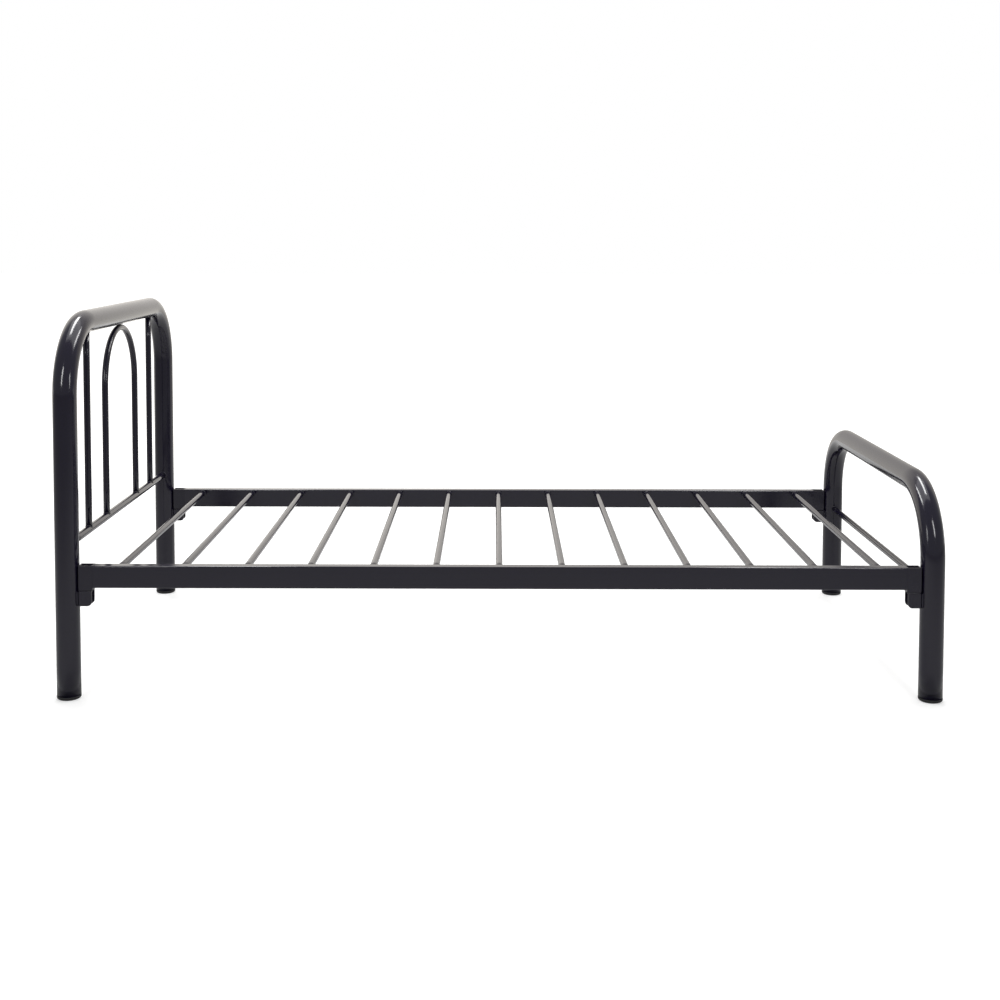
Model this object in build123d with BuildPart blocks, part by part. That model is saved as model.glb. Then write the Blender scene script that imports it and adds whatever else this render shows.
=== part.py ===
from build123d import *
import os

# A single bed frame in welded, powder-coated steel tube. The headboard and the footboard are round
# tubes bent into hoops, and the base is two box-section side rails joined by round slats. The base
# hangs on the hoops by four hook joints, so the bed comes apart into three welded frames.
#
# X runs along the bed with the head at -X, Y runs across it, and Z is up from the floor. The origin
# is on the floor under the middle of the bed. "left" is the -Y side. All sizes are in millimetres.

# Driving dimensions
POST_PITCH = 1955.0     # between the head and foot posts, along X
BED_WIDTH = 925.0       # between the left and right posts, along Y
HEAD_TOP = 874.0        # top of the headboard hoop
FOOT_TOP = 504.0        # top of the footboard hoop
RAIL_TOP = 306.0        # top of the side rails, which the mattress rests on

# Hoops: the posts and the top bar are one bent tube
HOOP_OD = 54.0
HOOP_WALL = 1.5
HOOP_BEND = 162.0       # centreline radius of the corner bends, three tube diameters

# Thin tubes inside the hoops and across the base
ROD_OD = 16.0           # spindles, arch, foot cross rail and slats
ROD_WALL = 1.0
HEAD_CROSS_OD = 19.0
HEAD_CROSS_Z = 350.0
FOOT_CROSS_Z = 255.0
SPINDLE_Y = 292.0       # straight spindles, from the middle
ARCH_RADIUS = 140.0     # centreline radius of the arch, so its legs stand this far from the middle

# Side rails and slats
RAIL_WIDTH = 25.4
RAIL_HEIGHT = 50.8
RAIL_WALL = 1.5
RAIL_CORNER = 3.0       # outer corner radius of the box section
SLAT_COUNT = 13
SLAT_PITCH = 144.0
SLAT_Z = RAIL_TOP - 12.0
SLAT_HOLE_CLEARANCE = 0.25
SLAT_END_GAP = 2.0      # from a slat's end to the rail's outer wall, inside the rail

# Corner joints: a bracket on the post, with two cross pins, and a shoe and hook plate on the rail
JOINT_LENGTH = 33.5     # from the post's surface to the end of the rail
SHOE_SHEET = 2.5
SHOE_DROP = 5.0         # how far the shoe hangs below the rail
SHOE_POST_GAP = 1.5
SHOE_EDGE = 0.5         # radius left on the shoe's upright edges, once its weld is ground flush
SHOE_LOWER_CORNER = 3.0
BRACKET_SHEET = 2.5
BRACKET_WIDTH = 19.4    # of the part that goes inside the shoe
BRACKET_DEPTH = 30.7
BRACKET_BOTTOM = 214.0
BRACKET_TOP = 305.0
BRACKET_LOWER_CORNER = 10.0
BRACKET_UPPER_CORNER = 12.0
SHOULDER_GAP = 2.2      # from the shoe down to the bracket's shoulder, where it widens to the rail's width
SHOULDER_BEND = 1.8
PIN_DIAMETER = 8.0
PIN_FIT = 0.05          # radial clearance of a pin in its bracket holes
PIN_SPACING = 30.0
PIN_DEPTH = 17.0        # pin axis, from the post's surface
PIN_LOWER_Z = 258.0
HOOK_THICKNESS = 5.0
HOOK_REACH = 25.0       # from the shoe's wall towards the post
HOOK_TOP_Z = 300.0
HOOK_BOTTOM_Z = 251.0
HOOK_DROP = 12.0        # how far the rail drops to lock on the pins
HOOK_CLEARANCE = 0.2    # radial clearance of a hook's seat on its pin

# Feet: a moulded plug in the end of each post
FOOT_HEIGHT = 8.0
FOOT_OD = 54.4
FOOT_EDGE = 5.0         # radius of the foot's lower edge
PLUG_HEIGHT = 20.0
PLUG_CLEARANCE = 0.2
PLUG_WALL = 2.5
PLUG_FINS = 3
PLUG_FIN_DEPTH = 1.2
PLUG_FIN_HEIGHT = 2.0

ROOT_GAP = 0.1          # gap at the root of each welded joint

# Worked-out sizes
HEAD_X = -POST_PITCH / 2
FOOT_X = POST_PITCH / 2
POST_Y = BED_WIDTH / 2
RAIL_BOTTOM = RAIL_TOP - RAIL_HEIGHT
RAIL_MID_Z = (RAIL_TOP + RAIL_BOTTOM) / 2
RAIL_END = POST_PITCH / 2 - HOOP_OD / 2 - JOINT_LENGTH

ENDS = {"head": HEAD_X, "foot": FOOT_X}
SIDES = {"left": -POST_Y, "right": POST_Y}

os.makedirs("parts", exist_ok=True)


def save(piece, name):
    piece.part.label = name
    export_step(piece.part, f"parts/{name}.step")


def ring(outer_diameter, wall):
    """A tube's section, drawn in the current sketch."""
    Circle(outer_diameter / 2)
    Circle(outer_diameter / 2 - wall, mode=Mode.SUBTRACT)


def side_plane(end_x, side_y):
    """The upright plane through a post, along the bed: x runs from the post to the bed's middle."""
    inward = -1 if end_x > 0 else 1
    return Plane(origin=(end_x, side_y, 0), x_dir=(inward, 0, 0), z_dir=(0, -inward, 0))


# Hoops

def make_hoop(name, x, top):
    """One tube from foot to foot, with a large bend at each top corner."""
    bar_z = top - HOOP_OD / 2
    with BuildPart() as hoop:
        with BuildLine(Plane.YZ.offset(x)) as path:
            FilletPolyline(
                (-POST_Y, FOOT_HEIGHT),
                (-POST_Y, bar_z),
                (POST_Y, bar_z),
                (POST_Y, FOOT_HEIGHT),
                radius=HOOP_BEND,
            )
        with BuildSketch(Plane.XY.offset(FOOT_HEIGHT)):
            with Locations((x, -POST_Y)):
                ring(HOOP_OD, HOOP_WALL)
        sweep(path=path.line)
    save(hoop, name)


make_hoop("headboard_hoop", HEAD_X, HEAD_TOP)
make_hoop("footboard_hoop", FOOT_X, FOOT_TOP)


# Cross rails: a thin tube between the posts of each hoop, its ends coped to fit round them

def make_cross_rail(name, x, z, diameter):
    with BuildPart() as cross_rail:
        with BuildSketch(Plane.XZ):
            with Locations((x, z)):
                ring(diameter, ROD_WALL)
        extrude(amount=POST_Y, both=True)
        with BuildSketch(Plane.XY.offset(z - HOOP_OD)):
            with Locations((x, -POST_Y), (x, POST_Y)):
                Circle(HOOP_OD / 2 + ROOT_GAP)
        extrude(amount=2 * HOOP_OD, mode=Mode.SUBTRACT)
    save(cross_rail, name)


make_cross_rail("headboard_cross_rail", HEAD_X, HEAD_CROSS_Z, HEAD_CROSS_OD)
make_cross_rail("footboard_cross_rail", FOOT_X, FOOT_CROSS_Z, ROD_OD)


# Headboard filling: two straight spindles and an arch, coped to stand on the cross rail

def make_spindle(name, y):
    bar_z = HEAD_TOP - HOOP_OD / 2
    with BuildPart() as spindle:
        with BuildSketch(Plane.XY.offset(HEAD_CROSS_Z)):
            with Locations((HEAD_X, y)):
                ring(ROD_OD, ROD_WALL)
        extrude(amount=bar_z - HEAD_CROSS_Z)
        with BuildSketch(Plane.XZ):
            with Locations((HEAD_X, bar_z)):
                Circle(HOOP_OD / 2 + ROOT_GAP)
            with Locations((HEAD_X, HEAD_CROSS_Z)):
                Circle(HEAD_CROSS_OD / 2 + ROOT_GAP)
        extrude(amount=POST_Y, both=True, mode=Mode.SUBTRACT)
    save(spindle, name)


make_spindle("headboard_spindle_left", -SPINDLE_Y)
make_spindle("headboard_spindle_right", SPINDLE_Y)

arch_top = HEAD_TOP - HOOP_OD - ROOT_GAP - ROD_OD / 2
arch_spring = arch_top - ARCH_RADIUS
with BuildPart() as headboard_arch:
    with BuildLine(Plane.YZ.offset(HEAD_X)) as arch_path:
        Line((-ARCH_RADIUS, HEAD_CROSS_Z), (-ARCH_RADIUS, arch_spring))
        ThreePointArc((-ARCH_RADIUS, arch_spring), (0, arch_top), (ARCH_RADIUS, arch_spring))
        Line((ARCH_RADIUS, arch_spring), (ARCH_RADIUS, HEAD_CROSS_Z))
    with BuildSketch(Plane.XY.offset(HEAD_CROSS_Z)):
        with Locations((HEAD_X, -ARCH_RADIUS)):
            ring(ROD_OD, ROD_WALL)
    sweep(path=arch_path.line)
    with BuildSketch(Plane.XZ):
        with Locations((HEAD_X, HEAD_CROSS_Z)):
            Circle(HEAD_CROSS_OD / 2 + ROOT_GAP)
    extrude(amount=POST_Y, both=True, mode=Mode.SUBTRACT)
save(headboard_arch, "headboard_arch")


# Side rails: a box section with a hole in its inner wall for each slat

slat_centres = [(i - (SLAT_COUNT - 1) / 2) * SLAT_PITCH for i in range(SLAT_COUNT)]


def make_side_rail(name, y):
    inner_wall_y = y - RAIL_WIDTH / 2 if y > 0 else y + RAIL_WIDTH / 2
    with BuildPart() as side_rail:
        with BuildSketch(Plane.YZ):
            with Locations((y, RAIL_MID_Z)):
                RectangleRounded(RAIL_WIDTH, RAIL_HEIGHT, RAIL_CORNER)
                RectangleRounded(
                    RAIL_WIDTH - 2 * RAIL_WALL,
                    RAIL_HEIGHT - 2 * RAIL_WALL,
                    RAIL_CORNER - RAIL_WALL,
                    mode=Mode.SUBTRACT,
                )
        extrude(amount=RAIL_END, both=True)
        with BuildSketch(Plane.XZ.offset(-inner_wall_y)):
            with Locations(*[(x, SLAT_Z) for x in slat_centres]):
                Circle(ROD_OD / 2 + SLAT_HOLE_CLEARANCE)
        extrude(amount=2 * RAIL_WALL, both=True, mode=Mode.SUBTRACT)
    save(side_rail, name)


make_side_rail("side_rail_left", -POST_Y)
make_side_rail("side_rail_right", POST_Y)


# Slats: straight tubes whose ends pass through the rails' inner walls

slat_half_length = POST_Y + RAIL_WIDTH / 2 - RAIL_WALL - SLAT_END_GAP
for number, x in enumerate(slat_centres, start=1):
    with BuildPart() as slat:
        with BuildSketch(Plane.XZ):
            with Locations((x, SLAT_Z)):
                ring(ROD_OD, ROD_WALL)
        extrude(amount=slat_half_length, both=True)
    save(slat, f"slat_{number:02d}")


# Corner joints. Each piece is drawn in the side plane of its post, where the first coordinate is the
# distance from the post's axis towards the middle of the bed, and the second is the height.

POST_FACE = HOOP_OD / 2 + ROOT_GAP
PIN_AT = HOOP_OD / 2 + PIN_DEPTH
PIN_HEIGHTS = (PIN_LOWER_Z, PIN_LOWER_Z + PIN_SPACING)
SHOE_WALL_AT = HOOP_OD / 2 + JOINT_LENGTH


def make_bracket(name, plane):
    """A pressed channel, its web welded to the post and its two cheeks reaching along the bed.

    Below the shoe its cheeks step out to the rail's width, which makes a shoulder under the shoe.
    """
    mid_z = (BRACKET_TOP + BRACKET_BOTTOM) / 2
    height = BRACKET_TOP - BRACKET_BOTTOM
    shoulder_z = RAIL_BOTTOM - SHOE_DROP - SHOULDER_GAP
    wide_height = shoulder_z - BRACKET_BOTTOM
    inward = Axis(plane.origin, plane.x_dir)
    with BuildPart() as bracket:
        with BuildSketch(plane):
            with Locations((POST_FACE + BRACKET_DEPTH / 2, mid_z)):
                Rectangle(BRACKET_DEPTH, height)
        extrude(amount=BRACKET_WIDTH / 2, both=True)
        with BuildSketch(plane):
            with Locations((POST_FACE + BRACKET_DEPTH / 2, BRACKET_BOTTOM + wide_height / 2)):
                Rectangle(BRACKET_DEPTH, wide_height)
        extrude(amount=RAIL_WIDTH / 2, both=True)
        free_corners = bracket.edges().filter_by(Axis.Y).group_by(inward)[-1].sort_by(Axis.Z)
        fillet(free_corners[0], BRACKET_LOWER_CORNER)
        fillet(free_corners[-1], BRACKET_UPPER_CORNER)
        web_edges = bracket.edges().filter_by(Axis.Z).group_by(inward)[0]
        fillet(web_edges, BRACKET_SHEET)
        shoulder_edges = bracket.edges().filter_by(Axis.X).filter_by_position(
            Axis.Z, shoulder_z - ROOT_GAP, shoulder_z + ROOT_GAP
        )
        fillet(shoulder_edges.group_by(Axis.Y)[0] + shoulder_edges.group_by(Axis.Y)[-1], SHOULDER_BEND)
        with BuildSketch(plane):
            with Locations((POST_FACE + BRACKET_SHEET + BRACKET_DEPTH / 2, mid_z)):
                Rectangle(BRACKET_DEPTH, height)
        extrude(amount=BRACKET_WIDTH / 2 - BRACKET_SHEET, both=True, mode=Mode.SUBTRACT)
        inner_height = wide_height - BRACKET_SHEET
        with BuildSketch(plane):
            with Locations(
                (POST_FACE + BRACKET_SHEET + BRACKET_DEPTH / 2, BRACKET_BOTTOM + inner_height / 2)
            ):
                Rectangle(BRACKET_DEPTH, inner_height)
        extrude(amount=RAIL_WIDTH / 2 - BRACKET_SHEET, both=True, mode=Mode.SUBTRACT)
        with BuildSketch(plane):
            with Locations(*[(PIN_AT, z) for z in PIN_HEIGHTS]):
                Circle(PIN_DIAMETER / 2 + PIN_FIT)
        extrude(amount=BRACKET_WIDTH, both=True, mode=Mode.SUBTRACT)
    save(bracket, name)


def make_pins(name, plane):
    """The two cross pins riveted through a bracket's cheeks."""
    with BuildPart() as pins:
        with BuildSketch(plane):
            with Locations(*[(PIN_AT, z) for z in PIN_HEIGHTS]):
                Circle(PIN_DIAMETER / 2)
        extrude(amount=BRACKET_WIDTH / 2, both=True)
    save(pins, name)


def make_shoe(name, plane):
    """A pressed channel on the rail's end, flush with the rail, that drops over the bracket."""
    bottom_z = RAIL_BOTTOM - SHOE_DROP
    height = RAIL_TOP - bottom_z
    mid_z = (RAIL_TOP + bottom_z) / 2
    length = JOINT_LENGTH - SHOE_POST_GAP
    inward = Axis(plane.origin, plane.x_dir)
    with BuildPart() as shoe:
        with BuildSketch(plane):
            with Locations((SHOE_WALL_AT - length / 2 - ROOT_GAP, mid_z)):
                Rectangle(length, height)
        extrude(amount=RAIL_WIDTH / 2, both=True)
        wall_edges = shoe.edges().filter_by(Axis.Z).group_by(inward)[-1]
        fillet(wall_edges, SHOE_EDGE)
        with BuildSketch(plane):
            with Locations((SHOE_WALL_AT - length / 2 - ROOT_GAP - SHOE_SHEET, mid_z)):
                Rectangle(length, height)
        extrude(amount=RAIL_WIDTH / 2 - SHOE_SHEET, both=True, mode=Mode.SUBTRACT)
        lower_corners = shoe.edges().filter_by(Axis.Y).group_by(Axis.Z)[0].group_by(inward)[0]
        fillet(lower_corners, SHOE_LOWER_CORNER)
    save(shoe, name)


def make_hook_plate(name, plane):
    """A plate in the middle of the shoe, notched into two hooks that hang on the bracket's pins."""
    wall_at = SHOE_WALL_AT - SHOE_SHEET - 2 * ROOT_GAP
    seat = PIN_DIAMETER / 2 + HOOK_CLEARANCE
    tip_at = wall_at - HOOK_REACH
    with BuildPart() as hook_plate:
        with BuildSketch(plane):
            with Locations((wall_at - HOOK_REACH / 2, (HOOK_TOP_Z + HOOK_BOTTOM_Z) / 2)):
                Rectangle(HOOK_REACH, HOOK_TOP_Z - HOOK_BOTTOM_Z)
            with Locations(*[(PIN_AT, z) for z in PIN_HEIGHTS]):
                Circle(seat, mode=Mode.SUBTRACT)
            with Locations(*[(PIN_AT, z - (HOOK_DROP + seat) / 2) for z in PIN_HEIGHTS]):
                Rectangle(2 * seat, HOOK_DROP + seat, mode=Mode.SUBTRACT)
            mouth = PIN_AT + seat - tip_at
            with Locations(*[(tip_at + mouth / 2, z - HOOK_DROP) for z in PIN_HEIGHTS]):
                Rectangle(mouth, 2 * seat, mode=Mode.SUBTRACT)
        extrude(amount=HOOK_THICKNESS / 2, both=True)
    save(hook_plate, name)


for end, end_x in ENDS.items():
    for side, side_y in SIDES.items():
        post_plane = side_plane(end_x, side_y)
        make_bracket(f"{end}board_bracket_{side}", post_plane)
        make_pins(f"{end}board_pins_{side}", post_plane)
        make_shoe(f"rail_shoe_{end}_{side}", post_plane)
        make_hook_plate(f"rail_hook_{end}_{side}", post_plane)


# Feet: a thick round base below the post, with a hollow finned plug pushed up inside the tube

def make_foot(name, x, y):
    bore = HOOP_OD / 2 - HOOP_WALL
    plug_radius = bore - PLUG_CLEARANCE - PLUG_FIN_DEPTH
    with BuildPart() as foot:
        with BuildSketch(Plane.XY):
            with Locations((x, y)):
                Circle(FOOT_OD / 2)
        extrude(amount=FOOT_HEIGHT - ROOT_GAP)
        fillet(foot.edges().group_by(Axis.Z)[0], FOOT_EDGE)
        with BuildSketch(Plane.XY.offset(FOOT_HEIGHT - ROOT_GAP)):
            with Locations((x, y)):
                Circle(plug_radius)
                Circle(plug_radius - PLUG_WALL, mode=Mode.SUBTRACT)
        extrude(amount=PLUG_HEIGHT)
        fin_pitch = PLUG_HEIGHT / PLUG_FINS
        for fin in range(PLUG_FINS):
            with BuildSketch(Plane.XY.offset(FOOT_HEIGHT + fin_pitch * (fin + 1) - PLUG_FIN_HEIGHT)):
                with Locations((x, y)):
                    Circle(plug_radius + PLUG_FIN_DEPTH)
                    Circle(plug_radius - PLUG_WALL / 2, mode=Mode.SUBTRACT)
            extrude(amount=PLUG_FIN_HEIGHT)
    save(foot, name)


for end, end_x in ENDS.items():
    for side, side_y in SIDES.items():
        make_foot(f"{end}board_foot_{side}", end_x, side_y)
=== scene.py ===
# %% [markdown]
# # A single bed frame in powder-coated steel tube
# The bed is three welded frames: a headboard and a footboard, each a thick round tube bent into a
# hoop, and a base of two box-section rails joined by round slats. Pressed brackets on the posts carry
# the base. The engineering model gives every piece its place and size. This scene gives the visible
# pieces smooth tubes, weld beads and a powder-coated finish, and lights them as in a studio.

# %% Load the engineering model
import bpy
import bmesh
import math
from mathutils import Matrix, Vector


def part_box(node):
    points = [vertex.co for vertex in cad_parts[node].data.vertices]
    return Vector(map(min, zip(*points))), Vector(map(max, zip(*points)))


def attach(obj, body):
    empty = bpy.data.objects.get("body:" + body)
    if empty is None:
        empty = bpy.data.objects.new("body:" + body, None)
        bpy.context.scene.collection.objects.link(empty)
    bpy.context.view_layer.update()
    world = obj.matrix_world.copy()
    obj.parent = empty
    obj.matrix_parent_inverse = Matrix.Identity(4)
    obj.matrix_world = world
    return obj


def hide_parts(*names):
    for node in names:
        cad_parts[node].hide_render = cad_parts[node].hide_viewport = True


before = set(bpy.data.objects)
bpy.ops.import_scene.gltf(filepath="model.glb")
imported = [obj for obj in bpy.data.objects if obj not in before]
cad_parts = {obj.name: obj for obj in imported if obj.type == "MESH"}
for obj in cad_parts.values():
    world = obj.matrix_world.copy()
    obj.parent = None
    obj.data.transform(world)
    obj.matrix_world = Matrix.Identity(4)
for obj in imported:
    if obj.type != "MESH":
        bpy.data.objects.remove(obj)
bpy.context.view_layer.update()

# %% [markdown]
# ## The camera first
# The bed is seen from its left side, from a little above the headboard, with a normal lens. A level
# camera keeps the posts upright, so this one looks down only a little, and a vertical lens shift
# brings the bed down into the middle of the frame.

# %% Place the camera
CAMERA_AT = Vector((-0.010, -3.550, 1.061))
CAMERA_DOWN = math.radians(3.19)
CAMERA_TURN = math.radians(0.34)
CAMERA_ROLL = math.radians(-0.06)
CAMERA_LENS = 49.8      # millimetres
CAMERA_SENSOR = 36.0    # millimetres wide
CAMERA_SHIFT_X = 0.013
CAMERA_SHIFT_Y = -0.192
CAMERA_REACH = 100.0    # metres

camera_data = bpy.data.cameras.new("camera")
camera_data.lens = CAMERA_LENS
camera_data.sensor_width = CAMERA_SENSOR
camera_data.shift_x = CAMERA_SHIFT_X
camera_data.shift_y = CAMERA_SHIFT_Y
camera_data.clip_end = CAMERA_REACH
camera = bpy.data.objects.new("camera", camera_data)
camera.location = CAMERA_AT
camera.rotation_euler = (math.pi / 2 - CAMERA_DOWN, CAMERA_ROLL, CAMERA_TURN)
bpy.context.scene.collection.objects.link(camera)
bpy.context.scene.camera = camera
print("camera at", tuple(CAMERA_AT), "lens", CAMERA_LENS, "mm")

# %% [markdown]
# ## A tube swept along a path
# Every tube here bends in one plane at most, so a sweep needs no twist control: at each point of the
# path, one direction across the tube is the plane's normal, and the other lies in the plane. A curve
# with a round bevel would do as well, but rings of our own keep the number of sides and the length of
# the faces even. The wall comes from a Solidify modifier that grows inwards, as on real tube.

# %% Helper: sweep rings along a planar path
TUBE_SIDES = 64
ROD_SIDES = 40


def add_object(name, mesh, body="root"):
    piece = bpy.data.objects.new(name, mesh)
    bpy.context.scene.collection.objects.link(piece)
    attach(piece, body)
    return piece


def smooth_mesh(name, bm):
    bmesh.ops.recalc_face_normals(bm, faces=bm.faces[:])
    mesh = bpy.data.meshes.new(name)
    bm.to_mesh(mesh)
    bm.free()
    for polygon in mesh.polygons:
        polygon.use_smooth = True
    return mesh


def add_sweep(bm, path, normal, radii, sides, closed=False):
    """Add rings round the path's points to bm, and join them. radii holds one radius per point."""
    rings = []
    count = len(path)
    for index, point in enumerate(path):
        before = path[index - 1] if closed or index > 0 else point
        after = path[(index + 1) % count] if closed or index < count - 1 else point
        tangent = (after - before).normalized()
        across = normal.cross(tangent).normalized()
        upright = tangent.cross(across)
        ring = []
        for side in range(sides):
            angle = 2 * math.pi * side / sides
            offset = across * math.cos(angle) + upright * math.sin(angle)
            ring.append(bm.verts.new(point + offset * radii[index]))
        rings.append(ring)
    joins = count if closed else count - 1
    for index in range(joins):
        first, second = rings[index], rings[(index + 1) % count]
        for side in range(sides):
            following = (side + 1) % sides
            bm.faces.new((first[side], first[following], second[following], second[side]))
    return rings


def make_tube(name, path, normal, radius, sides, wall):
    bm = bmesh.new()
    add_sweep(bm, path, normal, [radius] * len(path), sides)
    tube = add_object(name, smooth_mesh(name, bm))
    solidify = tube.modifiers.new("wall", "SOLIDIFY")
    solidify.thickness = wall
    solidify.offset = -1.0
    solidify.use_even_offset = True
    return tube


# %% [markdown]
# ## The two hoops
# Each hoop is one length of 54 mm tube, bent round a former at its two top corners. A tube bender
# leaves a true arc between straight runs, so the path is lines and quarter circles. Points on the arcs
# are close together, so their outlines stay round, and the straight runs are cut into shorter
# lengths, so that the faces don't become needles.

# %% Helper: a hoop's path
HOOP_BEND = 0.162       # centreline radius of the bends
HOOP_WALL = 0.0015
ARC_STEPS = 40
RUN_STEP = 0.06


def run_points(start, end, step=RUN_STEP):
    """Evenly spaced points from start up to, but not including, end."""
    count = max(1, round((end - start).length / step))
    return [start.lerp(end, index / count) for index in range(count)]


def arc_points(centre, radius, start_angle, end_angle, steps, x):
    points = []
    for index in range(steps):
        angle = start_angle + (end_angle - start_angle) * index / steps
        y = centre[0] + radius * math.cos(angle)
        z = centre[1] + radius * math.sin(angle)
        points.append(Vector((x, y, z)))
    return points


def hoop_path(x, half_width, bottom, top, bend):
    """Up the left post, over the top and down the right post, in the plane at x."""
    inner = half_width - bend
    spring = top - bend
    path = run_points(Vector((x, -half_width, bottom)), Vector((x, -half_width, spring)))
    path += arc_points((-inner, spring), bend, math.pi, math.pi / 2, ARC_STEPS, x)
    if inner > 1e-6:
        path += run_points(Vector((x, -inner, top)), Vector((x, inner, top)))
    path += arc_points((inner, spring), bend, math.pi / 2, 0.0, ARC_STEPS, x)
    path += run_points(Vector((x, half_width, spring)), Vector((x, half_width, bottom)))
    path.append(Vector((x, half_width, bottom)))
    return path


# %% Make the hoops
ALONG_BED = Vector((1, 0, 0))
ACROSS_BED = Vector((0, 1, 0))
UP = Vector((0, 0, 1))


def tube_facts(node):
    """A hoop's or the arch's tube radius, and its centreline's plane, half width, bottom and top."""
    low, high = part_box(node)
    radius = (high.x - low.x) / 2
    return radius, (high.x + low.x) / 2, high.y - radius, low.z, high.z - radius


hoops = {}
for node in ("headboard_hoop", "footboard_hoop"):
    radius, x, half_width, bottom, top = tube_facts(node)
    path = hoop_path(x, half_width, bottom, top, HOOP_BEND)
    hoop = make_tube(f"{node}_tube", path, ALONG_BED, radius, TUBE_SIDES, HOOP_WALL)
    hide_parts(node)
    hoops[node] = hoop
    print(node, "tube", round(2000 * radius), "mm,", len(path), "rings")

# %% [markdown]
# ## Rods: spindles, arch, cross rails and slats
# The thin tubes run straight, except the arch, which is a half circle on two legs. On the real bed
# the ends are cut to fit round the tube they meet, and the weld hides the cut. Here each cross rail
# runs a few millimetres further, into the posts, and a weld bead goes over the joint.

# %% Make the rods
ROD_WALL = 0.001
END_OVERRUN = 0.006
RODS_ALONG_Y = ["headboard_cross_rail", "footboard_cross_rail"]
RODS_ALONG_Z = ["headboard_spindle_left", "headboard_spindle_right"]
SLATS = sorted(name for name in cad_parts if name.startswith("slat_"))


def make_straight_rod(node, axis, overrun):
    low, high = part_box(node)
    middle = (low + high) / 2
    half_length = (high - low).dot(axis) / 2 + overrun
    radius = (high.x - low.x) / 2
    path = run_points(middle - axis * half_length, middle + axis * half_length)
    path.append(middle + axis * half_length)
    rod = make_tube(f"{node}_tube", path, ALONG_BED, radius, ROD_SIDES, ROD_WALL)
    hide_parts(node)
    return rod


rods = [make_straight_rod(node, ACROSS_BED, END_OVERRUN) for node in RODS_ALONG_Y]
rods += [make_straight_rod(node, UP, 0.0) for node in RODS_ALONG_Z]
rods += [make_straight_rod(node, ACROSS_BED, 0.0) for node in SLATS]

radius, x, arch_half_width, bottom, top = tube_facts("headboard_arch")
path = hoop_path(x, arch_half_width, bottom, top, arch_half_width)
arch = make_tube("headboard_arch_tube", path, ALONG_BED, radius, ROD_SIDES, ROD_WALL)
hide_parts("headboard_arch")
rods.append(arch)
print(len(rods), "rods")

# %% [markdown]
# ## Side rails
# The rails are rectangular tube with corners rounded by the forming rolls. A cube with a bevel would
# give the same section, but sweeping the section along the rail gives even faces for the finish.

# %% Helper: a box section swept along X
RAIL_CORNER = 0.003
RAIL_WALL = 0.0015
CORNER_STEPS = 8


def rounded_section(half_width, half_height, corner):
    """Points (y, z) round a rectangle with rounded corners, anticlockwise."""
    points = []
    for quarter in range(4):
        sign_y = 1 if quarter in (0, 3) else -1
        sign_z = 1 if quarter in (0, 1) else -1
        for index in range(CORNER_STEPS + 1):
            angle = math.pi / 2 * (quarter + index / CORNER_STEPS)
            y = sign_y * (half_width - corner) + corner * math.cos(angle)
            z = sign_z * (half_height - corner) + corner * math.sin(angle)
            points.append((y, z))
    return points


def keep_flats_flat(piece):
    """Shade by the large faces, so that a flat side stays flat between its rounded edges."""
    weighted = piece.modifiers.new("flat sides", "WEIGHTED_NORMAL")
    weighted.weight = 100
    weighted.keep_sharp = True


def make_rail(node):
    low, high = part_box(node)
    middle = (low + high) / 2
    section = rounded_section((high.y - low.y) / 2, (high.z - low.z) / 2, RAIL_CORNER)
    stations = run_points(Vector((low.x, middle.y, middle.z)), Vector((high.x, middle.y, middle.z)))
    stations.append(Vector((high.x, middle.y, middle.z)))
    bm = bmesh.new()
    rings = [[bm.verts.new(at + Vector((0, y, z))) for y, z in section] for at in stations]
    for first, second in zip(rings, rings[1:]):
        for index in range(len(section)):
            following = (index + 1) % len(section)
            bm.faces.new((first[index], first[following], second[following], second[index]))
    rail = add_object(f"{node}_tube", smooth_mesh(node, bm))
    solidify = rail.modifiers.new("wall", "SOLIDIFY")
    solidify.thickness = RAIL_WALL
    solidify.offset = -1.0
    keep_flats_flat(rail)
    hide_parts(node)
    return rail


rails = [make_rail(node) for node in ("side_rail_left", "side_rail_right")]
print(len(rails), "rails, section", CORNER_STEPS * 4 + 4, "points")

# %% [markdown]
# ## Weld beads
# A MIG weld is a row of small overlapping pools, and powder coat softens them but doesn't hide them.
# Each bead is swept like a tube, along the line where the two surfaces meet, and its thickness pulses
# with the pools. Where a thin tube meets a thick one that line is a saddle, which a short formula
# gives: at an angle round the thin tube, the height is that of the thick tube's wall there.

# %% Helpers: bead paths
BEAD_RADIUS = 0.0014
BEAD_POOL = 0.0032      # length of one pool along the weld
BEAD_PULSE = 0.22       # how much the bead swells at each pool
BEAD_TAPER = 0.45       # an open bead's radius at its ends, as a share of its full radius
BEAD_SIDES = 10
BEAD_SPACING = 0.0007


def bead_radii(path, closed, size):
    """A radius for each point of a bead, pulsing once per pool, and tapering at an open bead's ends."""
    lengths = [0.0]
    for before, after in zip(path, path[1:]):
        lengths.append(lengths[-1] + (after - before).length)
    total = lengths[-1] + ((path[0] - path[-1]).length if closed else 0.0)
    pools = max(1, round(total / BEAD_POOL))
    radii = []
    for length in lengths:
        phase = (length / total * pools) % 1.0
        swell = 1.0 + BEAD_PULSE * (math.sqrt(abs(math.sin(math.pi * phase))) - 0.5)
        from_end = min(length, total - length)
        end = 1.0 if closed else min(1.0, BEAD_TAPER + from_end / (2 * BEAD_POOL))
        radii.append(size * swell * end)
    return radii


def add_bead(bm, path, normal, closed=True, size=BEAD_RADIUS):
    radii = bead_radii(path, closed, size)
    rings = add_sweep(bm, path, normal, radii, BEAD_SIDES, closed)
    if not closed:
        for ring in (rings[0], rings[-1]):
            bm.faces.new(ring)


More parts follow.
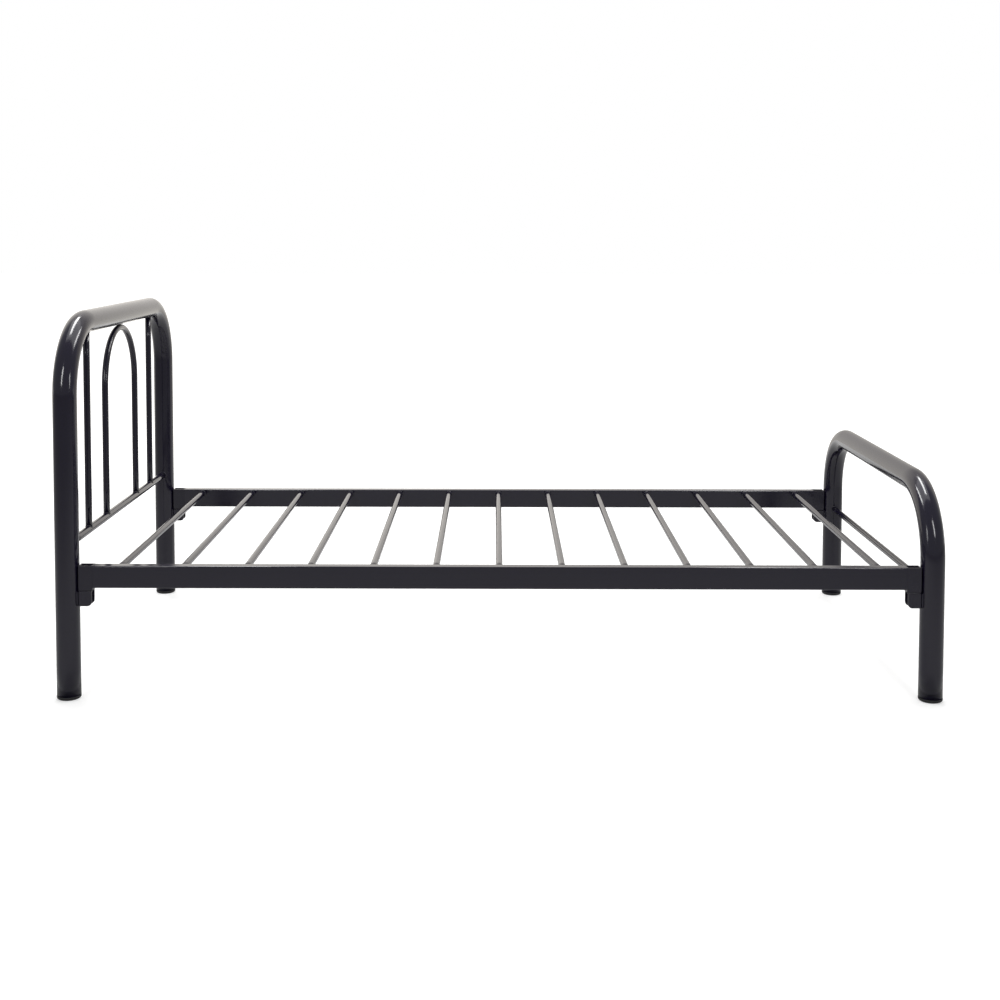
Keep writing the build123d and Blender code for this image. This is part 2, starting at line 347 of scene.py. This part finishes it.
def saddle_path(centre, along, big_axis, small_radius, big_radius):
    """Where a thin tube, running out from centre along a direction, meets a thick tube's wall.

    A big radius of zero stands for a flat wall through the centre.
    """
    side = along.cross(big_axis)
    count = round(2 * math.pi * small_radius / BEAD_SPACING)
    path = []
    for index in range(count):
        angle = 2 * math.pi * index / count
        off_axis = small_radius * math.sin(angle)
        height = math.sqrt(big_radius ** 2 - off_axis ** 2) if big_radius else 0.0
        on_axis = small_radius * math.cos(angle)
        path.append(centre + along * height + big_axis * on_axis + side * off_axis)
    return path


# %% Weld the headboard and the footboard
hoop_radius, head_x, post_y, _, head_bar_z = tube_facts("headboard_hoop")
foot_x = tube_facts("footboard_hoop")[1]
head_cross_low, head_cross_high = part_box("headboard_cross_rail")
head_cross_z = (head_cross_low.z + head_cross_high.z) / 2
head_cross_radius = (head_cross_high.z - head_cross_low.z) / 2


def weld_cross_rail(bm, node, hoop_x):
    low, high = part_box(node)
    z = (low.z + high.z) / 2
    rod_radius = (high.z - low.z) / 2
    for sign in (-1, 1):
        post = Vector((hoop_x, sign * post_y, z))
        add_bead(bm, saddle_path(post, ACROSS_BED * -sign, UP, rod_radius, hoop_radius), ACROSS_BED)


def finish_welds(name, bm):
    return add_object(name, smooth_mesh(name, bm))


rod_radius = tube_facts("headboard_arch")[0]
spindle_ys = [sum(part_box(node)[i].y for i in (0, 1)) / 2 for node in RODS_ALONG_Z]

head_welds = bmesh.new()
weld_cross_rail(head_welds, "headboard_cross_rail", head_x)
for y in spindle_ys:
    bar = Vector((head_x, y, head_bar_z))
    add_bead(head_welds, saddle_path(bar, -UP, ACROSS_BED, rod_radius, hoop_radius), UP)
for y in spindle_ys + [-arch_half_width, arch_half_width]:
    foot = Vector((head_x, y, head_cross_z))
    add_bead(head_welds, saddle_path(foot, UP, ACROSS_BED, rod_radius, head_cross_radius), UP)
welds = [finish_welds("headboard_welds", head_welds)]

foot_welds = bmesh.new()
weld_cross_rail(foot_welds, "footboard_cross_rail", foot_x)
welds.append(finish_welds("footboard_welds", foot_welds))
print("welded the hoops")

# %% Weld the slats into the rails, and the brackets to the posts
SLAT_BEAD = 0.0017
BRACKET_BEAD = 0.0022
BEAD_END_MARGIN = 0.003

for side, sign in (("left", -1), ("right", 1)):
    low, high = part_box(f"side_rail_{side}")
    inner_face = high.y if sign < 0 else low.y
    slat_welds = bmesh.new()
    for node in SLATS:
        slat_low, slat_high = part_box(node)
        centre = (slat_low + slat_high) / 2
        slat_radius = (slat_high.z - slat_low.z) / 2
        centre.y = inner_face
        ring = saddle_path(centre, ACROSS_BED * -sign, ALONG_BED, slat_radius, 0.0)
        add_bead(slat_welds, ring, ACROSS_BED, size=SLAT_BEAD)
    welds.append(finish_welds(f"slat_welds_{side}", slat_welds))


def weld_bracket(end, side):
    """A bead down each edge of the bracket's web, in the groove between it and the round post."""
    low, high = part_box(f"{end}board_bracket_{side}")
    shoe_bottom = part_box(f"rail_shoe_{end}_{side}")[0].z
    post_x = head_x if end == "head" else foot_x
    inward = 1 if post_x < 0 else -1
    middle_y = (low.y + high.y) / 2
    off_axis = (high.y - low.y) / 2
    bead_x = post_x + inward * (math.sqrt(hoop_radius ** 2 - off_axis ** 2) + BRACKET_BEAD / 2)
    bm = bmesh.new()
    for sign in (-1, 1):
        y = middle_y + sign * off_axis
        start = Vector((bead_x, y, low.z + BEAD_END_MARGIN))
        end_at = Vector((bead_x, y, shoe_bottom - BEAD_END_MARGIN))
        path = run_points(start, end_at, BEAD_SPACING) + [end_at]
        add_bead(bm, path, ALONG_BED, closed=False, size=BRACKET_BEAD)
    return finish_welds(f"{end}board_bracket_welds_{side}", bm)


ENDS = ("head", "foot")
SIDES = ("left", "right")
welds += [weld_bracket(end, side) for end in ENDS for side in SIDES]
print(len(welds), "pieces of weld")

# %% [markdown]
# ## Pressings and feet
# The brackets, rail shoes, hook plates, pins and feet keep the engineering model's own shapes, which
# are exact. Pressed sheet has no knife edges, though: the punch rolls one side over and the coating
# rounds the rest. A small Bevel modifier gives each edge the thin line of light that a real one shows,
# and leaves the mesh under it alone.

# %% Soften the edges of the pressings
PRESSED_EDGE = 0.0006
SHOE_EDGE = 0.0011      # the shoe's edges are ground rounder than the brackets'
EDGE_STEPS = 3
SHARPEST_LEFT = math.radians(40)
pressings = []
for end in ENDS:
    for side in SIDES:
        pressings.append(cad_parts[f"{end}board_bracket_{side}"])
        pressings.append(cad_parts[f"rail_shoe_{end}_{side}"])
        pressings.append(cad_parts[f"rail_hook_{end}_{side}"])
for pressing in pressings:
    bevel = pressing.modifiers.new("rolled edges", "BEVEL")
    bevel.width = SHOE_EDGE if pressing.name.startswith("rail_shoe") else PRESSED_EDGE
    bevel.segments = EDGE_STEPS
    bevel.limit_method = "ANGLE"
    bevel.angle_limit = SHARPEST_LEFT
    bevel.harden_normals = True
pins = [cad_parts[f"{end}board_pins_{side}"] for end in ENDS for side in SIDES]
feet = [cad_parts[f"{end}board_foot_{side}"] for end in ENDS for side in SIDES]
print(len(pressings), "pressings,", len(pins), "pairs of pins,", len(feet), "feet")

# %% [markdown]
# ## What powder coat looks like
# The powder is sprayed on dry and melts in an oven, so it flows almost flat, but not quite. It keeps
# a shallow, rolling texture a few millimetres across, called orange peel, and much finer grit that
# breaks up a reflection's edge. Its colour is even, with a slight cloudiness where the film is thicker.
# All the coated pieces share these effects, so each one is a node group, built once, and each material
# sets its own values.

# %% Helpers: node groups
def new_group(name, inputs, outputs):
    """A shader group with float inputs {name: default} and outputs {name: socket type}."""
    group = bpy.data.node_groups.new(name, "ShaderNodeTree")
    for label, default in inputs.items():
        socket = group.interface.new_socket(label, in_out="INPUT", socket_type="NodeSocketFloat")
        socket.default_value = default
    for label, kind in outputs.items():
        group.interface.new_socket(label, in_out="OUTPUT", socket_type=kind)
    return group, group.nodes.new("NodeGroupInput"), group.nodes.new("NodeGroupOutput")


def add_node(tree, kind, **settings):
    node = tree.nodes.new(kind)
    for key, value in settings.items():
        setattr(node, key, value)
    return node


def math_node(tree, operation, first, second):
    """A Math node; each operand is a socket or a number."""
    node = add_node(tree, "ShaderNodeMath", operation=operation)
    for socket, operand in zip(node.inputs, (first, second)):
        if isinstance(operand, bpy.types.NodeSocket):
            tree.links.new(operand, socket)
        else:
            socket.default_value = operand
    return node.outputs[0]


def noise_node(tree, vector, scale, detail=2.0, roughness=0.5):
    node = add_node(tree, "ShaderNodeTexNoise", noise_dimensions="3D")
    tree.links.new(vector, node.inputs["Vector"])
    if isinstance(scale, bpy.types.NodeSocket):
        tree.links.new(scale, node.inputs["Scale"])
    else:
        node.inputs["Scale"].default_value = scale
    node.inputs["Detail"].default_value = detail
    node.inputs["Roughness"].default_value = roughness
    return node.outputs["Fac"]


# %% Group: orange peel
def orange_peel_group():
    """Height, in metres, of the coat's rolling texture and its finer grit."""
    group, given, result = new_group(
        "orange peel",
        {
            "Ripple Size": 0.004,
            "Ripple Depth": 0.000012,
            "Grit Size": 0.0005,
            "Grit Depth": 0.000003,
        },
        {"Height": "NodeSocketFloat"},
    )
    place = add_node(group, "ShaderNodeTexCoord").outputs["Object"]
    layers = []
    for layer in ("Ripple", "Grit"):
        scale = math_node(group, "DIVIDE", 1.0, given.outputs[f"{layer} Size"])
        height = noise_node(group, place, scale, detail=1.0)
        layers.append(math_node(group, "MULTIPLY", height, given.outputs[f"{layer} Depth"]))
    total = math_node(group, "ADD", layers[0], layers[1])
    group.links.new(total, result.inputs["Height"])
    return group


# %% Group: cloudy film
def cloud_group():
    """A mask from 0 to 1, drifting over centimetres, with a fine mottle on top."""
    group, given, result = new_group(
        "cloudy film",
        {"Cloud Size": 0.09, "Mottle Size": 0.0016, "Mottle Share": 0.35},
        {"Mask": "NodeSocketFloat"},
    )
    place = add_node(group, "ShaderNodeTexCoord").outputs["Object"]
    cloud_scale = math_node(group, "DIVIDE", 1.0, given.outputs["Cloud Size"])
    mottle_scale = math_node(group, "DIVIDE", 1.0, given.outputs["Mottle Size"])
    clouds = noise_node(group, place, cloud_scale, detail=3.0)
    mottle = noise_node(group, place, mottle_scale, detail=1.0)
    mix = add_node(group, "ShaderNodeMix", data_type="FLOAT")
    group.links.new(given.outputs["Mottle Share"], mix.inputs["Factor"])
    group.links.new(clouds, mix.inputs[2])
    group.links.new(mottle, mix.inputs[3])
    group.links.new(mix.outputs[0], result.inputs["Mask"])
    return group


orange_peel = orange_peel_group()
cloudy_film = cloud_group()
print("node groups:", orange_peel.name, "and", cloudy_film.name)

# %% [markdown]
# ## The materials
# The coat is a paint, not a metal: a near-black base with a clear, half-glossy surface. The
# Principled shader's base layer with plain roughness gives that. A second clear-coat layer would look
# like car paint. The tubes, the pressings and the welds share one recipe. Powder gathers in corners
# and thins on edges, so the pressings get a tighter peel, and the welds a duller, lumpier one.

# %% Helpers: put a group in a material, and make a material
def use_group(material, group, **values):
    node = add_node(material.node_tree, "ShaderNodeGroup", node_tree=group)
    for label, value in values.items():
        node.inputs[label.replace("_", " ")].default_value = value
    return node


def start_material(name):
    material = bpy.data.materials.new(name)
    material.use_nodes = True
    return material, material.node_tree, material.node_tree.nodes["Principled BSDF"]


def blend_colours(tree, mask, first, second):
    mix = add_node(tree, "ShaderNodeMix", data_type="RGBA")
    tree.links.new(mask, mix.inputs["Factor"])
    mix.inputs[6].default_value = (*first, 1.0)
    mix.inputs[7].default_value = (*second, 1.0)
    return mix.outputs[2]


MASK_MIDDLE = (0.3, 0.7)        # noise seldom leaves this range


def spread_values(tree, mask, low, high):
    """Map the middle of a noise mask onto a range of values."""
    node = add_node(tree, "ShaderNodeMapRange")
    tree.links.new(mask, node.inputs["Value"])
    node.inputs["From Min"].default_value, node.inputs["From Max"].default_value = MASK_MIDDLE
    node.inputs["To Min"].default_value = low
    node.inputs["To Max"].default_value = high
    return node.outputs["Result"]


def add_bump(tree, shader, height):
    bump = add_node(tree, "ShaderNodeBump")
    bump.inputs["Strength"].default_value = 1.0
    bump.inputs["Distance"].default_value = 1.0
    tree.links.new(height, bump.inputs["Height"])
    tree.links.new(bump.outputs["Normal"], shader.inputs["Normal"])


# %% Powder coat, on the tubes, the pressings and the welds
COAT_DARK = (0.0040, 0.0028, 0.0115)
COAT_LIGHT = (0.0064, 0.0048, 0.0150)
DULLING = 0.07          # how much the roughness varies with the film


def powder_coat(name, roughness, ripple_size, ripple_depth, grit_depth):
    material, tree, shader = start_material(name)
    film = use_group(material, cloudy_film).outputs["Mask"]
    peel = use_group(
        material,
        orange_peel,
        Ripple_Size=ripple_size,
        Ripple_Depth=ripple_depth,
        Grit_Depth=grit_depth,
    ).outputs["Height"]
    tree.links.new(blend_colours(tree, film, COAT_DARK, COAT_LIGHT), shader.inputs["Base Color"])
    gloss = spread_values(tree, film, roughness - DULLING / 2, roughness + DULLING / 2)
    tree.links.new(gloss, shader.inputs["Roughness"])
    add_bump(tree, shader, peel)
    return material


coat_on_tube = powder_coat("powder coat on tube", 0.15, 0.0045, 0.000008, 0.0000008)
coat_on_pressing = powder_coat("powder coat on pressings", 0.26, 0.0030, 0.000008, 0.0000012)
coat_on_weld = powder_coat("powder coat on welds", 0.38, 0.0016, 0.000030, 0.0000020)
print("powder coat on tubes, pressings and welds")

# %% Zinc-plated pins and moulded feet
ZINC_DARK = (0.42, 0.43, 0.45)
ZINC_LIGHT = (0.55, 0.56, 0.57)
PLASTIC_DARK = (0.012, 0.012, 0.013)
PLASTIC_LIGHT = (0.020, 0.020, 0.021)


def zinc_plate():
    """Bright zinc: pale bluish metal, slightly patchy, with a fine crystal grain."""
    material, tree, shader = start_material("zinc plate")
    film = use_group(material, cloudy_film, Cloud_Size=0.006, Mottle_Size=0.0004).outputs["Mask"]
    peel = use_group(
        material,
        orange_peel,
        Ripple_Size=0.001,
        Ripple_Depth=0.000004,
        Grit_Size=0.0002,
    ).outputs["Height"]
    tree.links.new(blend_colours(tree, film, ZINC_DARK, ZINC_LIGHT), shader.inputs["Base Color"])
    tree.links.new(spread_values(tree, film, 0.28, 0.42), shader.inputs["Roughness"])
    shader.inputs["Metallic"].default_value = 1.0
    add_bump(tree, shader, peel)
    return material


def moulded_plastic():
    """Black polyethylene: a fine spark-eroded grain from the mould, and a soft dull shine."""
    material, tree, shader = start_material("moulded plastic")
    film = use_group(material, cloudy_film, Cloud_Size=0.02, Mottle_Size=0.0008).outputs["Mask"]
    grain = use_group(
        material,
        orange_peel,
        Ripple_Size=0.0012,
        Ripple_Depth=0.000020,
        Grit_Size=0.0003,
        Grit_Depth=0.000008,
    ).outputs["Height"]
    tree.links.new(blend_colours(tree, film, PLASTIC_DARK, PLASTIC_LIGHT), shader.inputs["Base Color"])
    tree.links.new(spread_values(tree, film, 0.50, 0.60), shader.inputs["Roughness"])
    add_bump(tree, shader, grain)
    return material


pin_zinc = zinc_plate()
foot_plastic = moulded_plastic()
print("zinc plate and moulded plastic")

# %% Put the materials on the pieces
def paint(pieces, material):
    for piece in pieces:
        piece.data.materials.clear()
        piece.data.materials.append(material)


paint(list(hoops.values()) + rods + rails, coat_on_tube)
paint(pressings, coat_on_pressing)
paint(welds, coat_on_weld)
paint(pins, pin_zinc)
paint(feet, foot_plastic)

# %% [markdown]
# ## The room round the bed
# Dark gloss paint shows its surroundings more than its own colour, so the studio is what gives the
# tubes their shape. The room is bright and slightly warm behind the bed, and dimmer elsewhere, which
# keeps the faces that look at the camera deep. The camera itself sees plain white all round, as in a
# picture cut out for a catalogue: a Light Path node tells its rays from the ones that light the bed.

# %% Helpers: ramps, camera rays and a mix of two numbers
def ramp_node(tree, value, from_range, to_range):
    """Smoothly map one range of a value onto another."""
    ramp = add_node(tree, "ShaderNodeMapRange", interpolation_type="SMOOTHSTEP")
    tree.links.new(value, ramp.inputs["Value"])
    ramp.inputs["From Min"].default_value, ramp.inputs["From Max"].default_value = from_range
    ramp.inputs["To Min"].default_value, ramp.inputs["To Max"].default_value = to_range
    return ramp.outputs["Result"]


def camera_rays(tree):
    return add_node(tree, "ShaderNodeLightPath").outputs["Is Camera Ray"]


def mix_floats(tree, factor, first, second):
    mix = add_node(tree, "ShaderNodeMix", data_type="FLOAT")
    tree.links.new(factor, mix.inputs["Factor"])
    for socket, value in zip(mix.inputs[2:4], (first, second)):
        if isinstance(value, bpy.types.NodeSocket):
            tree.links.new(value, socket)
        else:
            socket.default_value = value
    return mix.outputs[0]


# %% World: a backdrop behind the bed, and a dimmer room
ROOM_LIGHT = 0.45
BACKDROP_LIGHT = 1.14
BACKDROP_LOW = 0.80     # the backdrop fades towards the floor
BACKDROP_EDGE = (0.25, 0.75)    # how far back a direction points, where it begins and is whole
BACKDROP_FADE = (-0.05, 0.22)   # how far up a direction points, over the fade
BACKDROP_TINT = (1.0, 0.960, 0.895)
ROOM_TINT = (0.97, 0.985, 1.0)
WHITE = (1.0, 1.0, 1.0)

world = bpy.data.worlds.new("studio")
bpy.context.scene.world = world
world.use_nodes = True
world_tree = world.node_tree
room = world_tree.nodes["Background"]
direction = add_node(world_tree, "ShaderNodeTexCoord").outputs["Generated"]
split = add_node(world_tree, "ShaderNodeSeparateXYZ")
world_tree.links.new(direction, split.inputs["Vector"])
behind = ramp_node(world_tree, split.outputs["Y"], BACKDROP_EDGE, (0.0, 1.0))
backdrop_height = ramp_node(world_tree, split.outputs["Z"], BACKDROP_FADE, (BACKDROP_LOW, 1.0))
backdrop_light = math_node(world_tree, "MULTIPLY", backdrop_height, BACKDROP_LIGHT)
lit = mix_floats(world_tree, behind, ROOM_LIGHT, backdrop_light)
strength = mix_floats(world_tree, camera_rays(world_tree), lit, 1.0)
world_tree.links.new(strength, room.inputs["Strength"])
tint = blend_colours(world_tree, behind, ROOM_TINT, BACKDROP_TINT)
shown_tint = add_node(world_tree, "ShaderNodeMix", data_type="RGBA")
world_tree.links.new(camera_rays(world_tree), shown_tint.inputs["Factor"])
world_tree.links.new(tint, shown_tint.inputs[6])
shown_tint.inputs[7].default_value = (*WHITE, 1.0)
world_tree.links.new(shown_tint.outputs[2], room.inputs["Color"])
print("room", ROOM_LIGHT, "backdrop", BACKDROP_LIGHT)

# %% Floor: pale paper, filled with light away from the bed
FLOOR_SIZE = 60.0
FLOOR_SEEN = (0.66, 0.66, 0.66)
FLOOR_REFLECTED = (0.50, 0.50, 0.50)
FLOOR_FILL = (0.40, 1.0)        # near the bed, and far from it
FILL_FROM = (1.2, 4.5)          # metres from the bed's middle
SWEEP_FROM = (0.9, 3.2)         # metres behind the bed's middle, where reflections brighten
SWEEP_LIGHT = 0.9
PAPER_ROUGHNESS = 0.95

floor_mesh = bpy.data.meshes.new("floor")
half = FLOOR_SIZE / 2
floor_corners = [(-half, -half, 0), (half, -half, 0), (half, half, 0), (-half, half, 0)]
floor_mesh.from_pydata(floor_corners, [], [(0, 1, 2, 3)])
floor = bpy.data.objects.new("floor", floor_mesh)
bpy.context.scene.collection.objects.link(floor)
floor_material, floor_tree, floor_shader = start_material("pale floor")
floor_seen = camera_rays(floor_tree)
floor_tone = blend_colours(floor_tree, floor_seen, FLOOR_REFLECTED, FLOOR_SEEN)
floor_tree.links.new(floor_tone, floor_shader.inputs["Base Color"])
floor_place = add_node(floor_tree, "ShaderNodeTexCoord").outputs["Object"]
floor_distance = add_node(floor_tree, "ShaderNodeVectorMath", operation="LENGTH")
floor_tree.links.new(floor_place, floor_distance.inputs[0])
fill = ramp_node(floor_tree, floor_distance.outputs["Value"], FILL_FROM, FLOOR_FILL)
floor_side = add_node(floor_tree, "ShaderNodeSeparateXYZ")
floor_tree.links.new(floor_place, floor_side.inputs["Vector"])
sweep = ramp_node(floor_tree, floor_side.outputs["Y"], SWEEP_FROM, (0.0, SWEEP_LIGHT))
fill_seen = mix_floats(floor_tree, floor_seen, sweep, fill)
floor_shader.inputs["Emission Color"].default_value = (*WHITE, 1.0)
floor_tree.links.new(fill_seen, floor_shader.inputs["Emission Strength"])
floor_shader.inputs["Roughness"].default_value = PAPER_ROUGHNESS
floor_shader.inputs["Specular IOR Level"].default_value = 0.0
floor_mesh.materials.append(floor_material)
print("floor", FLOOR_SIZE, "m square")

# %% [markdown]
# ## A lit sheet behind the bed
# Light from the world depends on direction alone, so it falls on both ends of the bed alike. The
# headboard's bar is paler than the footboard's, though, as if it stood nearer to the light. A sheet
# at a real distance does that, when it is brighter behind the headboard. Tubes that run away from the
# camera catch it at a grazing angle and turn pale. The camera looks through it.

# %% Sheet: a lit panel behind the bed
SHEET_AT = 3.0          # metres behind the bed's middle
SHEET_WIDTH = 12.0
SHEET_HEIGHT = 4.0
SHEET_FADE = (-0.8, 1.9)        # metres along the bed, over which the light falls off
SHEET_LIGHT = (1.34, 0.74)      # behind the headboard, and past the footboard

sheet_mesh = bpy.data.meshes.new("sheet")
side_x = SHEET_WIDTH / 2
sheet_corners = [
    (-side_x, SHEET_AT, 0),
    (side_x, SHEET_AT, 0),
    (side_x, SHEET_AT, SHEET_HEIGHT),
    (-side_x, SHEET_AT, SHEET_HEIGHT),
]
sheet_mesh.from_pydata(sheet_corners, [], [(0, 1, 2, 3)])
sheet = bpy.data.objects.new("sheet", sheet_mesh)
bpy.context.scene.collection.objects.link(sheet)
sheet.visible_camera = False
sheet_material, sheet_tree, sheet_shader = start_material("lit sheet")
sheet_place = add_node(sheet_tree, "ShaderNodeSeparateXYZ")
sheet_coordinates = add_node(sheet_tree, "ShaderNodeTexCoord").outputs["Object"]
sheet_tree.links.new(sheet_coordinates, sheet_place.inputs["Vector"])
falloff = ramp_node(sheet_tree, sheet_place.outputs["X"], SHEET_FADE, SHEET_LIGHT)
sheet_shader.inputs["Base Color"].default_value = (0.0, 0.0, 0.0, 1.0)
sheet_shader.inputs["Specular IOR Level"].default_value = 0.0
sheet_shader.inputs["Emission Color"].default_value = (*BACKDROP_TINT, 1.0)
sheet_tree.links.new(falloff, sheet_shader.inputs["Emission Strength"])
sheet_mesh.materials.append(sheet_material)
print("sheet", SHEET_WIDTH, "by", SHEET_HEIGHT, "m")

# %% [markdown]
# ## The lamps
# A broad soft lamp overhead lights the floor and the tops of the tubes. Two narrow ones hang over the
# ends of the bed, and two upright ones stand in front of its corners. A round tube shows a narrow
# lamp as a streak, so these four put the pairs of streaks on the bends.

# %% Lamps
def add_area(name, at, aim, width, height, radiance):
    """A rectangular lamp, whose face is as bright as radiance says."""
    lamp = bpy.data.lights.new(name, "AREA")
    lamp.shape = "RECTANGLE"
    lamp.size = width
    lamp.size_y = height
    lamp.energy = radiance * math.pi * width * height
    holder = bpy.data.objects.new(name, lamp)
    holder.location = at
    holder.rotation_euler = (Vector(aim) - Vector(at)).to_track_quat("-Z", "Y").to_euler()
    holder.visible_camera = False
    bpy.context.scene.collection.objects.link(holder)
    return holder


OVERHEAD_LIGHT = 1.6
STRIP_LIGHT = 16.0

add_area("overhead", (0.0, 0.3, 3.6), (0.0, 0.3, 0.0), 4.5, 2.4, OVERHEAD_LIGHT)
for end, sign in (("head", -1), ("foot", 1)):
    hung_over = Vector((sign * 1.1, 0.45, 2.8))
    straight_below = Vector((sign * 1.1, 0.449, 0.0))
    add_area(f"{end} strip", hung_over, straight_below, 0.40, 1.7, STRIP_LIGHT)
    corner = Vector((sign * 1.2, -1.55, 1.25))
    add_area(f"{end} corner strip", corner, Vector((0.0, -0.35, 0.6)), 0.16, 0.6, STRIP_LIGHT)
bpy.context.scene.view_settings.view_transform = "Standard"
print("lit")

# %% Finish
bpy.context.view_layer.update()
